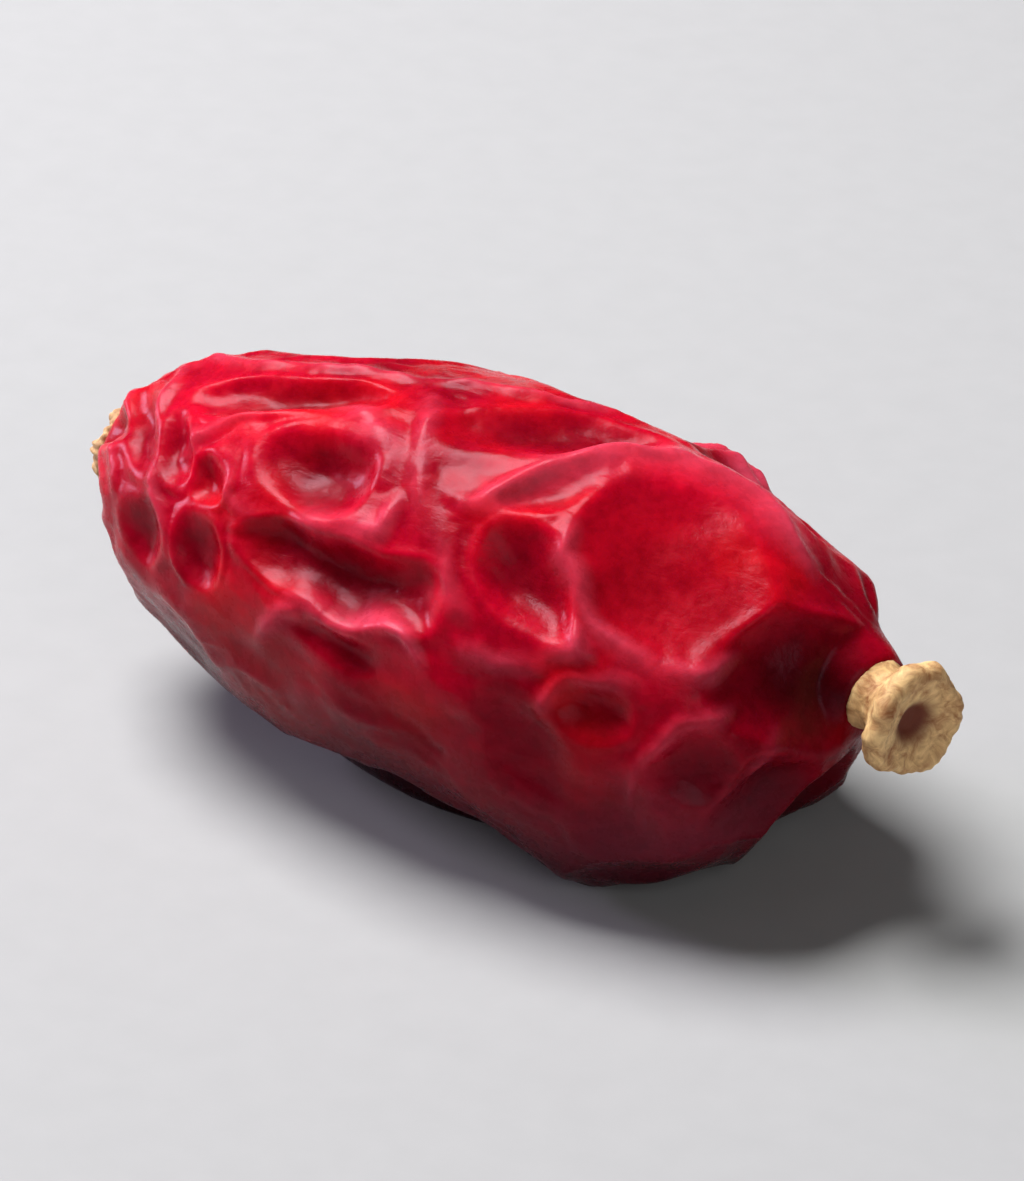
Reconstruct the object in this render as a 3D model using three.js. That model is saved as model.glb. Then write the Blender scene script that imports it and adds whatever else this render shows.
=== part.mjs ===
// One dried barberry lying on its side: an egg of leathery red skin that has shrunk into
// dents with a net of ridges between them, the woody stigma button that stays on its
// tip, and the torn collar that is left where the stalk came away.
// Millimetres, +Z up. The stigma is at +X. The origin is on the surface that the berry
// lies on, under the middle of its box.

import * as THREE from "three";
import { mergeVertices } from "three/addons/utils/BufferGeometryUtils.js";

// Driving dimensions of the plump form, before the skin sinks in
const BODY_LENGTH = 9.3;
const BODY_WIDTH = 4.72;
const BODY_HEIGHT = 4.7;
const FULLER_TIP = 0.16; // how much the stigma half is fuller than the stalk half
const STALK_BLUNTNESS = 0.37; // an ellipsoid's end has 0.5, a blunter one less
const STIGMA_BLUNTNESS = 0.37;
const STIGMA_RISE = 0.7; // the tips sit above the long axis
const STALK_RISE = 0.05;
const STIGMA_SNUB = 12; // the higher, the nearer to its tip the end turns up
const STALK_SNUB = 4;
const NOSE_LENGTH = 0.2; // the skin is drawn out under the stigma
const NOSE_GIRTH = 0.28; // as a share of the berry's half width
const UNDERSIDE_TAPER = 0.26; // the underside is deeper toward the stalk, so it lies level
const UNDERSIDE_NARROW = 10; // the higher, the less of the sides goes with it

// How it lies
const NOSE_DOWN = THREE.MathUtils.degToRad(5); // the stigma end dips
const FLAT_DEPTH = 0.24; // how far the underside is pressed flat
const FLAT_ALONG = 0.05; // the middle of the flat spot, as a share of the half length
const FLAT_CLEAR = [3, 1.6]; // half length and half width that no dent reaches
const FLAT_FADE = [0.6, 0.9]; // the dents fade in between these shares of it

// The skin's net: cuts of a box along its length and across, blown up into the berry
const CUTS_ALONG = 48;
const CUTS_ACROSS = 24;
const WELD = 1e-4; // corners of the box that are nearer than this are one
const RIDGE_LEAST = 0.15; // the half width of the narrowest ridge that the net can carry
const RIDGE_CREST = 0.04; // how round a ridge's crest is

// The large dents. Those of the side that shows are set by hand, one row each: how far
// along (-1 stalk, 1 stigma), the angle around (0 back, 90 top, 180 front, 270 under),
// half length, half width, depth, and the turn of its length off the berry's own
const SHOWN_DENTS = [
  [-0.45, 107, 1.3, 0.38, 0.22, 8],
  [0.17, 92, 1.35, 0.5, 0.22, 28],
  [-0.27, 128, 0.8, 0.5, 0.22, 4],
  [-0.52, 142, 0.3, 0.3, 0.13, 0],
  [-0.11, 152, 1.4, 0.46, 0.28, 6],
  [-0.1, 171, 1, 0.24, 0.11, 4],
  [0.34, 134, 0.75, 0.48, 0.24, -37],
  [0.61, 118, 1.3, 1.1, 0.26, -27],
  [0.26, 111, 0.6, 0.3, 0.11, 45],
  [-0.81, 130, 0.7, 0.3, 0.13, -39],
  [-0.69, 168, 0.4, 0.4, 0.12, -44],
  [-0.66, 134, 0.5, 0.25, 0.13, -52],
  [-0.51, 163, 0.45, 0.3, 0.13, -42],
  [-0.29, 188, 1.1, 0.6, 0.09, 5],
  [0.14, 186, 1, 0.6, 0.09, 9],
  [0.44, 179, 0.7, 0.55, 0.12, -48],
  [0.58, 160, 0.42, 0.38, 0.13, 50],
  [0.81, 172, 0.45, 0.42, 0.16, 48],
  [0.93, 200, 0.7, 0.6, 0.3, 28],
  [0.66, 192, 0.6, 0.5, 0.11, -66],
  [0.1, 212, 1.6, 0.8, 0.12, 0],
  [0.1, 238, 2.4, 1.2, 0.34, 0],
  [-0.6, 208, 1, 0.7, 0.11, 0],
  [0.88, 78, 0.9, 0.8, 0.14, 0],
  [-0.8, 62, 0.7, 0.6, 0.24, 0],
  [-0.45, 52, 1.3, 0.8, 0.3, 10],
  [0.1, 46, 1.4, 0.8, 0.32, -6],
  [0.6, 52, 1.2, 0.8, 0.3, 8],
];
const SHOWN_AROUND = [32, 225];
const SHOWN_ALONG = 0.9;

// The facet beside the stigma stays smooth: its middle and its reach, along and around
const SMOOTH_FACET = { middle: [0.6, 119], reach: [0.3, 32] };

// The shown side's ridges that stand out by themselves, one row each: half width, height,
// then the places that it runs through, along and around
const SHOWN_RIDGES = [
  [0.6, 0.38, [0.42, 228], [0.6, 227], [0.76, 223], [0.93, 205]],
  [0.09, 0.1, [-0.93, 84], [-0.8, 84], [-0.6, 88], [-0.3, 88], [-0.02, 79], [0.16, 70], [0.4, 64]],
  [0.08, 0.08, [-0.7, 86], [-0.88, 82], [-0.93, 102], [-0.89, 132], [-0.83, 160], [-0.72, 190]],
  [0.08, 0.08, [-0.7, 84], [-0.82, 92], [-0.78, 120], [-0.72, 142], [-0.63, 160], [-0.48, 178]],
  [0.12, 0.09, [-0.68, 142], [-0.59, 128], [-0.47, 115], [-0.28, 108], [-0.1, 116], [-0.03, 134]],
  [0.09, 0.07, [-0.52, 112], [-0.5, 122], [-0.5, 134], [-0.44, 144], [-0.3, 150]],
  [0.12, 0.13, [-0.3, 147], [-0.21, 141], [-0.12, 137], [-0.04, 134], [-0.02, 122]],
  [0.13, 0.08, [-0.2, 82], [-0.1, 106], [-0.03, 121], [0.05, 131], [0.14, 139], [0.22, 148], [0.32, 160]],
  [0.24, 0.12, [0.06, 128], [0.16, 116], [0.3, 98], [0.42, 84], [0.55, 78], [0.72, 80], [0.9, 94]],
  [0.1, 0.1, [0.34, 106], [0.38, 124], [0.5, 135], [0.6, 142], [0.7, 146], [0.8, 140], [0.84, 120]],
  [0.11, 0.11, [0.18, 151], [0.26, 157], [0.35, 158], [0.44, 154], [0.5, 144], [0.46, 130]],
  [0.1, 0.15, [-0.34, 186], [-0.26, 176], [-0.19, 164], [-0.1, 165], [-0.03, 159], [0.08, 159], [0.2, 170]],
  [0.12, 0.05, [-0.6, 200], [-0.3, 196], [0, 190], [0.2, 188]],
  [0.12, 0.04, [-0.35, 214], [0, 208], [0.3, 206]],
  [0.09, 0.08, [0.45, 172], [0.48, 162], [0.51, 155], [0.58, 149], [0.66, 149], [0.73, 154]],
  [0.09, 0.09, [0.68, 198], [0.69, 182], [0.71, 170], [0.76, 159], [0.84, 153], [0.9, 147]],
  [0.09, 0.09, [0.78, 216], [0.82, 205], [0.86, 194], [0.91, 184], [0.95, 172], [0.97, 156]],
  [0.08, 0.07, [0.84, 230], [0.88, 220], [0.93, 209], [0.96, 196]],
];

// The hidden side's ridges are drawn: each wanders along the berry from its start, a step
// along and a turn around at a time
const HIDDEN_RIDGES = { seed: 41, count: 24, places: 5, wide: [0.08, 0.13], high: [0.09, 0.18] };
const RIDGES_AROUND = [252, 388];
const RIDGE_START = [-0.95, 0.3];
const RIDGE_END = 0.93;
const RIDGE_STEP = [0.08, 0.24];
const RIDGE_TURN = 20;

// The other dents are drawn: how many, and the least and most of each measure
const LARGE = { seed: 5, count: 56, wide: [0.5, 0.9], deep: [0.2, 0.4], stretch: [1.2, 2.4] };
const SMALL = { seed: 23, count: 150, wide: [0.25, 0.5], deep: [0.01, 0.03], stretch: [1.4, 2.8] };
const SCATTER = { along: 0.04, around: 0.35, turn: 25, limit: 0.98 };

// Folds that run together at both tips
const FOLDS = { count: 8, along: [0.9, 0.96], long: [0.5, 0.9], wide: [0.2, 0.32], deep: [0.1, 0.2] };
const FOLDS_UNEVEN = 0.25; // of the step from one fold to the next
const STIGMA_FOLDS_SEED = 3;
const STALK_FOLDS_SEED = 4;

// How round and how raised the ridges are, for large dents and for small ones
const LARGE_RIDGE = { round: 0.035, raised: 0.045, reach: 0.09 };
const SMALL_RIDGE = { round: 0.01, raised: 0.006, reach: 0.015 };

// Two sets of waves that make the dents' outlines wander
const SLOW_WANDER = { seed: 11, count: 9, amount: 0.06, length: [1.5, 3.4] };
const QUICK_WANDER = { seed: 12, count: 12, amount: 0.05, length: [0.5, 1.3] };
const WAVE_SHARE = 0.58; // of the amount, for each wave, as three share one axis

// The places at the tips where the skin is flat and the two woody pieces sit
const SEAT_DEPTH = 0.02;
const SEAT_BLEND = 0.25;
const SEAT_REACH = 1; // beyond this height the skin belongs to the rest of the berry
const STIGMA_SEAT = 0.5;
const STALK_SEAT = 0.6;
const STIGMA_TURN = THREE.MathUtils.degToRad(-20); // it looks a little to the front

// The stigma: a thick button with a pit, on a short neck
const NECK_RADIUS = 0.38;
const NECK_LENGTH = 0.38;
const BUTTON_RADIUS = 0.64;
const BUTTON_THICKNESS = 0.32;
const PIT_RADIUS = 0.18;
const PIT_DEPTH = 0.2;

// Waves round a turned piece, one row each: waves in a turn, height and phase
const BUTTON_LOBES = [[2, 0.06, 1], [3, 0.04, 0.4], [5, 0.025, 2], [9, 0.02, 0], [13, 0.012, 2]];
const BUTTON_CURL = [[2, 0.04, -0.6], [3, 0.02, 2], [5, 0.02, 1]];
const COLLAR_LOBES = [[2, 0.05, 0], [5, 0.03, 0]];
const COLLAR_TEARS = [[3, 1, 0], [5, 0.7, 1], [8, 0.5, 0]];

// The collar that the stalk tore away from
const COLLAR_RADIUS = 0.4;
const COLLAR_HEIGHT = 0.17;
const COLLAR_HOLE = 0.2;
const COLLAR_FLOOR = 0.06;
const COLLAR_TEAR = 0.03;

const TURNED_SEGMENTS = 36;

const SKIN = { color: 0xa3142b, roughness: 0.4 };
const STIGMA_WOOD = { color: 0xb98c55, roughness: 0.8 };
const SCAR_WOOD = { color: 0xa87a48, roughness: 0.85 };

const HALF_LENGTH = BODY_LENGTH / 2;
const HALF_WIDTH = BODY_WIDTH / 2;
const HALF_HEIGHT = BODY_HEIGHT / 2;
const GOLDEN_ANGLE = Math.PI * (3 - Math.sqrt(5));
const { degToRad, radToDeg, lerp, clamp, smoothstep, euclideanModulo } = THREE.MathUtils;

// Seeded draws, the same on every run
function drawFrom(seed) {
  let state = seed;
  return (low, high) => {
    state = (state + 0x6d2b79f5) | 0;
    let t = Math.imul(state ^ (state >>> 15), 1 | state);
    t = (t + Math.imul(t ^ (t >>> 7), 61 | t)) ^ t;
    return low + ((high - low) * ((t ^ (t >>> 14)) >>> 0)) / 2 ** 32;
  };
}

// The plump form: its point for a direction, and the way out of the skin there
function riseAt(along) {
  return along > 0 ? STIGMA_RISE * along ** STIGMA_SNUB : STALK_RISE * along ** STALK_SNUB;
}

function plumpPoint(direction) {
  const along = direction.x;
  const bluntness = lerp(STALK_BLUNTNESS, STIGMA_BLUNTNESS, (along + 1) / 2);
  const girth = Math.max(0, 1 - along * along) ** bluntness * (1 + FULLER_TIP * along);
  const nose = along > 0 ? NOSE_LENGTH * Math.exp(-((girth / NOSE_GIRTH) ** 2)) : 0;
  const around = Math.atan2(direction.z, direction.y);
  const under = Math.max(0, -Math.sin(around)) ** UNDERSIDE_NARROW;
  const height = HALF_HEIGHT * girth * Math.sin(around) * (1 - UNDERSIDE_TAPER * along * under);
  return new THREE.Vector3(
    HALF_LENGTH * along + nose,
    HALF_WIDTH * girth * Math.cos(around),
    height + riseAt(along),
  );
}

function wayOut({ x, y, z }) {
  const lift = riseAt(Math.min(1, x / HALF_LENGTH));
  const out = [x / HALF_LENGTH ** 2, y / HALF_WIDTH ** 2, (z - lift) / HALF_HEIGHT ** 2];
  return new THREE.Vector3(...out).normalize();
}

function directionAt(along, aroundDeg) {
  const ring = Math.sqrt(1 - along * along);
  const around = degToRad(aroundDeg);
  return new THREE.Vector3(along, ring * Math.cos(around), ring * Math.sin(around));
}

// A dent is a bowl with its own axes, let into the plump form
function dentAt(along, aroundDeg, long, wide, deep, turnDeg) {
  const middle = plumpPoint(directionAt(along, aroundDeg));
  const out = wayOut(middle);
  const lengthways = new THREE.Vector3(1, 0, 0).addScaledVector(out, -out.x).normalize();
  lengthways.applyAxisAngle(out, degToRad(turnDeg));
  const across = new THREE.Vector3().crossVectors(out, lengthways);
  return { middle, out, lengthways, across, long, wide, deep };
}

function drawnDents({ seed, count, wide, deep, stretch }, wanted = () => true) {
  const draw = drawFrom(seed);
  const dents = [];
  for (let i = 0; i < count; i += 1) {
    const spot = 1 - (2 * i + 1) / count + draw(-SCATTER.along, SCATTER.along);
    const along = clamp(spot, -SCATTER.limit, SCATTER.limit);
    const turned = i * GOLDEN_ANGLE + draw(-SCATTER.around, SCATTER.around);
    const around = euclideanModulo(radToDeg(turned), 360);
    const halfWidth = draw(...wide);
    const halfLength = halfWidth * draw(...stretch);
    const depth = draw(...deep);
    const turn = draw(-SCATTER.turn, SCATTER.turn);
    if (wanted(along, around)) {
      dents.push(dentAt(along, around, halfLength, halfWidth, depth, turn));
    }
  }
  return dents;
}

function tipFolds(seed, end) {
  const draw = drawFrom(seed);
  return Array.from({ length: FOLDS.count }, (_, i) => {
    const along = end * draw(...FOLDS.along);
    const around = ((i + draw(-FOLDS_UNEVEN, FOLDS_UNEVEN)) * 360) / FOLDS.count;
    return dentAt(along, around, draw(...FOLDS.long), draw(...FOLDS.wide), draw(...FOLDS.deep), 0);
  });
}

function isHidden(along, around) {
  const shown = around > SHOWN_AROUND[0] && around < SHOWN_AROUND[1];
  return !shown || Math.abs(along) >= SHOWN_ALONG;
}

function isWrinkled(along, around) {
  const { middle, reach } = SMOOTH_FACET;
  return Math.hypot((along - middle[0]) / reach[0], (around - middle[1]) / reach[1]) > 1;
}

// Moves a point a little, so that the dents' outlines aren't regular
function wanderFrom({ seed, count, amount, length }) {
  const draw = drawFrom(seed);
  const waves = Array.from({ length: count }, (_, i) => {
    const wave = new THREE.Vector3(draw(-1, 1), draw(-1, 1), draw(-1, 1)).normalize();
    wave.multiplyScalar((2 * Math.PI) / draw(...length));
    return { wave, phase: draw(0, 2 * Math.PI), axis: i % 3 };
  });
  return (point) => {
    const moved = point.clone();
    for (const { wave, phase, axis } of waves) {
      const push = amount * WAVE_SHARE * Math.sin(wave.dot(point) + phase);
      moved.setComponent(axis, moved.getComponent(axis) + push);
    }
    return moved;
  };
}

// How far the skin stands off the plump form: it follows the deepest bowl, and is raised
// into a ridge where two bowls are equally deep
function reliefAt(point, dents, { round, raised, reach }) {
  let sum = 1;
  let lowest = 0;
  let next = Infinity;
  const away = new THREE.Vector3();
  for (const bowl of dents) {
    away.subVectors(point, bowl.middle);
    const u = away.dot(bowl.lengthways) / bowl.long;
    const v = away.dot(bowl.across) / bowl.wide;
    const w = away.dot(bowl.out) / Math.min(bowl.long, bowl.wide);
    const level = -bowl.deep * (1 - u * u - v * v - w * w);
    sum += Math.exp(-level / round);
    next = Math.min(next, Math.max(level, lowest));
    lowest = Math.min(lowest, level);
  }
  return raised * Math.exp(-(((next - lowest) / reach) ** 2)) - round * Math.log(sum);
}

// A ridge as a chain of spans over the plump form; it dies out in its first and last one
function ridgeAlong([wide, high, ...through]) {
  const places = through.map((place) => plumpPoint(directionAt(...place)));
  const last = places.length - 2;
  const spans = places.slice(0, -1).map((start, i) => ({
    line: new THREE.Line3(start, places[i + 1]),
    full: [i > 0 ? 1 : 0, i < last ? 1 : 0],
  }));
  return { wide: Math.max(wide, RIDGE_LEAST), high, spans };
}

function drawnRidges({ seed, count, places, wide, high }) {
  const draw = drawFrom(seed);
  return Array.from({ length: count }, (_, i) => {
    const measures = [draw(...wide), draw(...high)];
    let along = draw(...RIDGE_START);
    let around = lerp(...RIDGES_AROUND, (i + 0.5) / count);
    const through = Array.from({ length: places }, () => {
      along = Math.min(along + draw(...RIDGE_STEP), RIDGE_END);
      around += draw(-RIDGE_TURN, RIDGE_TURN);
      return [along, around];
    });
    return [...measures, ...through];
  });
}

function ridgesAt(point, ridges) {
  const nearest = new THREE.Vector3();
  let highest = 0;
  for (const { wide, high, spans } of ridges) {
    for (const { line, full } of spans) {
      const share = line.closestPointToPointParameter(point, true);
      const off = line.at(share, nearest).distanceTo(point);
      const crest = high * smoothstep(lerp(...full, share), 0, 1);
      const skirt = Math.exp((RIDGE_CREST - Math.hypot(off, RIDGE_CREST)) / wide);
      highest = Math.max(highest, crest * skirt);
    }
  }
  return highest;
}

// No dents where the berry lies on its flat spot
function dentShare(point) {
  if (point.z > 0) return 1;
  const along = (point.x - FLAT_ALONG * HALF_LENGTH) / FLAT_CLEAR[0];
  return smoothstep(Math.hypot(along, point.y / FLAT_CLEAR[1]), ...FLAT_FADE);
}

function seatAt(end, radius, turn) {
  const out = new THREE.Vector3(end, 0, 0).applyAxisAngle(new THREE.Vector3(0, 0, 1), turn);
  const centre = plumpPoint(new THREE.Vector3(end, 0, 0)).addScaledVector(out, -SEAT_DEPTH);
  return { centre, out, radius };
}

function pressOnto(seat, point) {
  const away = point.clone().sub(seat.centre);
  const height = away.dot(seat.out);
  if (Math.abs(height) > SEAT_REACH) return;
  const off = away.addScaledVector(seat.out, -height).length();
  const share = 1 - smoothstep(off, seat.radius, seat.radius + SEAT_BLEND);
  point.addScaledVector(seat.out, -height * share);
}

// The skin as a function: the finished point for a direction
function skinFrom(seats) {
  const large = [
    ...SHOWN_DENTS.map((row) => dentAt(...row)),
    ...drawnDents(LARGE, isHidden),
    ...tipFolds(STIGMA_FOLDS_SEED, 1),
    ...tipFolds(STALK_FOLDS_SEED, -1),
  ];
  const small = drawnDents(SMALL, isWrinkled);
  const ridges = [...SHOWN_RIDGES, ...drawnRidges(HIDDEN_RIDGES)].map(ridgeAlong);
  const slow = wanderFrom(SLOW_WANDER);
  const quick = wanderFrom(QUICK_WANDER);
  return (direction) => {
    const point = plumpPoint(direction);
    const moved = quick(slow(point));
    const sunk = reliefAt(moved, large, LARGE_RIDGE) + reliefAt(moved, small, SMALL_RIDGE);
    const relief = sunk + ridgesAt(moved, ridges);
    point.addScaledVector(wayOut(point), relief * dentShare(point));
    seats.forEach((seat) => pressOnto(seat, point));
    return point;
  };
}

// A box's net of squares, blown up to a ball with squares of about one size
function ballOfSquares() {
  const box = new THREE.BoxGeometry(2, 2, 2, CUTS_ALONG, CUTS_ACROSS, CUTS_ACROSS);
  box.deleteAttribute("normal");
  box.deleteAttribute("uv");
  const ball = mergeVertices(box, WELD);
  const place = ball.getAttribute("position");
  const directions = [];
  for (let i = 0; i < place.count; i += 1) {
    const corner = new THREE.Vector3().fromBufferAttribute(place, i);
    const even = corner.toArray().map((c) => Math.tan((c * Math.PI) / 4));
    directions.push(new THREE.Vector3(...even).normalize());
  }
  const index = ball.getIndex().array;
  const squares = [];
  for (let i = 0; i < index.length; i += 6) {
    squares.push([index[i], index[i + 1], index[i + 4], index[i + 5]]);
  }
  return { directions, squares };
}

// Cuts a square along the diagonal that lies nearer to the skin, so ridges stay whole
function cutSquare([a, b, c, d], points, directions, skin) {
  const middle = new THREE.Vector3();
  [a, b, c, d].forEach((corner) => middle.add(directions[corner]));
  const onSkin = skin(middle.normalize());
  const missBy = (p, q) => points[p].clone().lerp(points[q], 0.5).distanceTo(onSkin);
  return missBy(a, c) < missBy(b, d) ? [a, b, c, a, c, d] : [a, b, d, b, c, d];
}

function geometryOf(points, faces) {
  const geometry = new THREE.BufferGeometry().setFromPoints(points);
  geometry.setIndex(faces);
  geometry.computeVertexNormals();
  return geometry;
}

function berryGeometry(seats) {
  const { directions, squares } = ballOfSquares();
  const skin = skinFrom(seats);
  const points = directions.map(skin);
  return geometryOf(points, squares.flatMap((s) => cutSquare(s, points, directions, skin)));
}

// A solid turned round Z from a profile of [radius, height] pairs that starts and ends
// on the axis, each point of it then moved by a function of its angle
function turnedGeometry(profile, shape) {
  const rings = profile.slice(1, -1);
  const [bottom, top] = [profile[0], profile.at(-1)].map(([, h]) => new THREE.Vector3(0, 0, h));
  const points = [bottom, top];
  for (const [radius, height] of rings) {
    for (let s = 0; s < TURNED_SEGMENTS; s += 1) {
      points.push(shape(radius, height, (2 * Math.PI * s) / TURNED_SEGMENTS));
    }
  }
  const at = (ring, s) => 2 + ring * TURNED_SEGMENTS + (s % TURNED_SEGMENTS);
  const last = rings.length - 1;
  const faces = [];
  for (let s = 0; s < TURNED_SEGMENTS; s += 1) {
    faces.push(0, at(0, s + 1), at(0, s), 1, at(last, s), at(last, s + 1));
    for (let r = 0; r < last; r += 1) {
      faces.push(at(r, s), at(r, s + 1), at(r + 1, s));
      faces.push(at(r, s + 1), at(r + 1, s + 1), at(r + 1, s));
    }
  }
  return geometryOf(points, faces);
}

function turnedPoint(radius, height, angle) {
  return new THREE.Vector3(radius * Math.cos(angle), radius * Math.sin(angle), height);
}

function wavesAt(angle, rows) {
  return rows.reduce((sum, [turns, high, phase]) => sum + high * Math.sin(turns * angle + phase), 0);
}

function stigmaGeometry() {
  const top = NECK_LENGTH + BUTTON_THICKNESS;
  const profile = [
    [0, 0],
    [NECK_RADIUS * 1.06, 0],
    [NECK_RADIUS * 0.94, NECK_LENGTH * 0.4],
    [NECK_RADIUS * 1.02, NECK_LENGTH * 0.75],
    [BUTTON_RADIUS * 0.76, NECK_LENGTH],
    [BUTTON_RADIUS * 0.95, NECK_LENGTH + BUTTON_THICKNESS * 0.25],
    [BUTTON_RADIUS, NECK_LENGTH + BUTTON_THICKNESS * 0.55],
    [BUTTON_RADIUS * 0.96, NECK_LENGTH + BUTTON_THICKNESS * 0.85],
    [BUTTON_RADIUS * 0.84, top],
    [BUTTON_RADIUS * 0.66, top - PIT_DEPTH * 0.2],
    [PIT_RADIUS * 1.5, top - PIT_DEPTH * 0.45],
    [PIT_RADIUS, top - PIT_DEPTH * 0.75],
    [PIT_RADIUS * 0.6, top - PIT_DEPTH],
    [0, top - PIT_DEPTH],
  ];
  return turnedGeometry(profile, (radius, height, angle) => {
    const outer = (radius / BUTTON_RADIUS) ** 2;
    const warped = radius * (1 + wavesAt(angle, BUTTON_LOBES) * outer);
    const curl = wavesAt(angle, BUTTON_CURL) * outer;
    return turnedPoint(warped, height > 0 ? height + curl : 0, angle);
  });
}

function collarGeometry() {
  const profile = [
    [0, 0],
    [COLLAR_RADIUS * 0.92, 0],
    [COLLAR_RADIUS, COLLAR_HEIGHT * 0.35],
    [COLLAR_RADIUS * 0.92, COLLAR_HEIGHT * 0.75],
    [COLLAR_RADIUS * 0.8, COLLAR_HEIGHT],
    [COLLAR_HOLE * 1.2, COLLAR_HEIGHT * 0.92],
    [COLLAR_HOLE, COLLAR_HEIGHT * 0.6],
    [COLLAR_HOLE * 0.75, COLLAR_FLOOR],
    [0, COLLAR_FLOOR],
  ];
  return turnedGeometry(profile, (radius, height, angle) => {
    const tears = COLLAR_TEAR * wavesAt(angle, COLLAR_TEARS);
    const torn = tears * smoothstep(height, COLLAR_FLOOR, COLLAR_HEIGHT);
    return turnedPoint(radius * (1 + wavesAt(angle, COLLAR_LOBES)), height + torn, angle);
  });
}

function meshOf(name, geometry, finish) {
  const material = new THREE.MeshStandardMaterial({ name, metalness: 0, ...finish });
  const mesh = new THREE.Mesh(geometry, material);
  mesh.name = name;
  return mesh;
}

function standOn(seat, geometry) {
  const up = new THREE.Vector3(0, 0, 1);
  geometry.applyQuaternion(new THREE.Quaternion().setFromUnitVectors(up, seat.out));
  return geometry.translate(...seat.centre);
}

// Tips the nose down, presses the underside flat and moves the origin under the middle
function layDown(meshes) {
  const [berry] = meshes;
  meshes.forEach(({ geometry }) => geometry.rotateY(NOSE_DOWN));
  berry.geometry.computeBoundingBox();
  const floor = berry.geometry.boundingBox.min.z + FLAT_DEPTH;
  const place = berry.geometry.getAttribute("position");
  for (let i = 0; i < place.count; i += 1) {
    place.setZ(i, Math.max(place.getZ(i), floor));
  }
  const box = new THREE.Box3();
  meshes.forEach((mesh) => box.expandByObject(mesh, true));
  const middle = box.getCenter(new THREE.Vector3());
  meshes.forEach(({ geometry }) => geometry.translate(-middle.x, -middle.y, -floor));
}

function driedBarberry() {
  const stigmaSeat = seatAt(1, STIGMA_SEAT, STIGMA_TURN);
  const stalkSeat = seatAt(-1, STALK_SEAT, 0);
  const meshes = [
    meshOf("berry", berryGeometry([stigmaSeat, stalkSeat]), SKIN),
    meshOf("stigma", standOn(stigmaSeat, stigmaGeometry()), STIGMA_WOOD),
    meshOf("stalk_scar", standOn(stalkSeat, collarGeometry()), SCAR_WOOD),
  ];
  layDown(meshes);
  const group = new THREE.Group();
  group.name = "dried_barberry";
  group.add(...meshes);
  return group;
}

export default driedBarberry();
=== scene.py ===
"""One dried barberry on a pale floor.

The skin is raised by a formula over a fine net of squares: dents sunk into a plump egg,
with a ridge where two dents meet, at three sizes, and single ridges that run over them.
The woody stigma and the torn stalk collar are turned forms, pulled out of round. Sizes are
in millimetres until the meshes are made, and the frame gives the berry its place.
"""

import math

import bpy
import numpy as np
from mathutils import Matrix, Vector


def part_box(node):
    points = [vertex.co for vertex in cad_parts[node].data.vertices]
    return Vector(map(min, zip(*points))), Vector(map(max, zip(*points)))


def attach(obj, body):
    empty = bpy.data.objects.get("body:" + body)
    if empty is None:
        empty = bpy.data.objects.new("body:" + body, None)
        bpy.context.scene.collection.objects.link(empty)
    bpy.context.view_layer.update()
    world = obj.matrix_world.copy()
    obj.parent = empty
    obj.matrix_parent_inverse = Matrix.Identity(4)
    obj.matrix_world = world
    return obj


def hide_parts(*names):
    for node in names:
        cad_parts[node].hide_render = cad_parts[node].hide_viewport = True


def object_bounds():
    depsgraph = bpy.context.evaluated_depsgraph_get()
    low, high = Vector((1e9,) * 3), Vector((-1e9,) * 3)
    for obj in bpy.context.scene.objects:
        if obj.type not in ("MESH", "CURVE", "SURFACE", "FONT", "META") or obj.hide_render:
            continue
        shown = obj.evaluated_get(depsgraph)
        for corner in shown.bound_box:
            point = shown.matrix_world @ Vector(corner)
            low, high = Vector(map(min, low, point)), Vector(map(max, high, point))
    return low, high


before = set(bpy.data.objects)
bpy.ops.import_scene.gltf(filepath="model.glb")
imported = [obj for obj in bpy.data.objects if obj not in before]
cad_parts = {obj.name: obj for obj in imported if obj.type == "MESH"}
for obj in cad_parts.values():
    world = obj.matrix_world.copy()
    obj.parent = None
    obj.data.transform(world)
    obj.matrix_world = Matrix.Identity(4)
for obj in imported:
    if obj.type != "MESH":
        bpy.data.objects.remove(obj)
CAD_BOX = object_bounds()

MM = 0.001

# The plump form, before the skin sinks in
BODY_LENGTH = 9.3
BODY_WIDTH = 4.72
BODY_HEIGHT = 4.7
FULLER_TIP = 0.16  # how much more girth at the stigma than in the middle, as a share
STALK_BLUNTNESS = 0.37  # 0.5 is an ellipse, less is blunter
STIGMA_BLUNTNESS = 0.37
STIGMA_RISE = 0.7  # how high each tip is carried above the middle
STALK_RISE = 0.05
STIGMA_SNUB, STALK_SNUB = 12, 4  # the larger, the nearer to the tip the rise starts
NOSE_LENGTH = 0.2
NOSE_GIRTH = 0.28
UNDERSIDE_TAPER = 0.26
UNDERSIDE_NARROW = 10
HALF_LENGTH, HALF_WIDTH, HALF_HEIGHT = BODY_LENGTH / 2, BODY_WIDTH / 2, BODY_HEIGHT / 2

# How it lies: nose down, with a flat spot that no dent reaches
NOSE_DOWN = math.radians(5)
FLAT_DEPTH = 0.24
FLAT_ALONG = 0.05
FLAT_CLEAR = (3, 1.6)
FLAT_FADE = (0.6, 0.9)

# The skin's net of squares, about 0.05 mm each
CUTS_ALONG = 192
CUTS_ACROSS = 96

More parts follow.
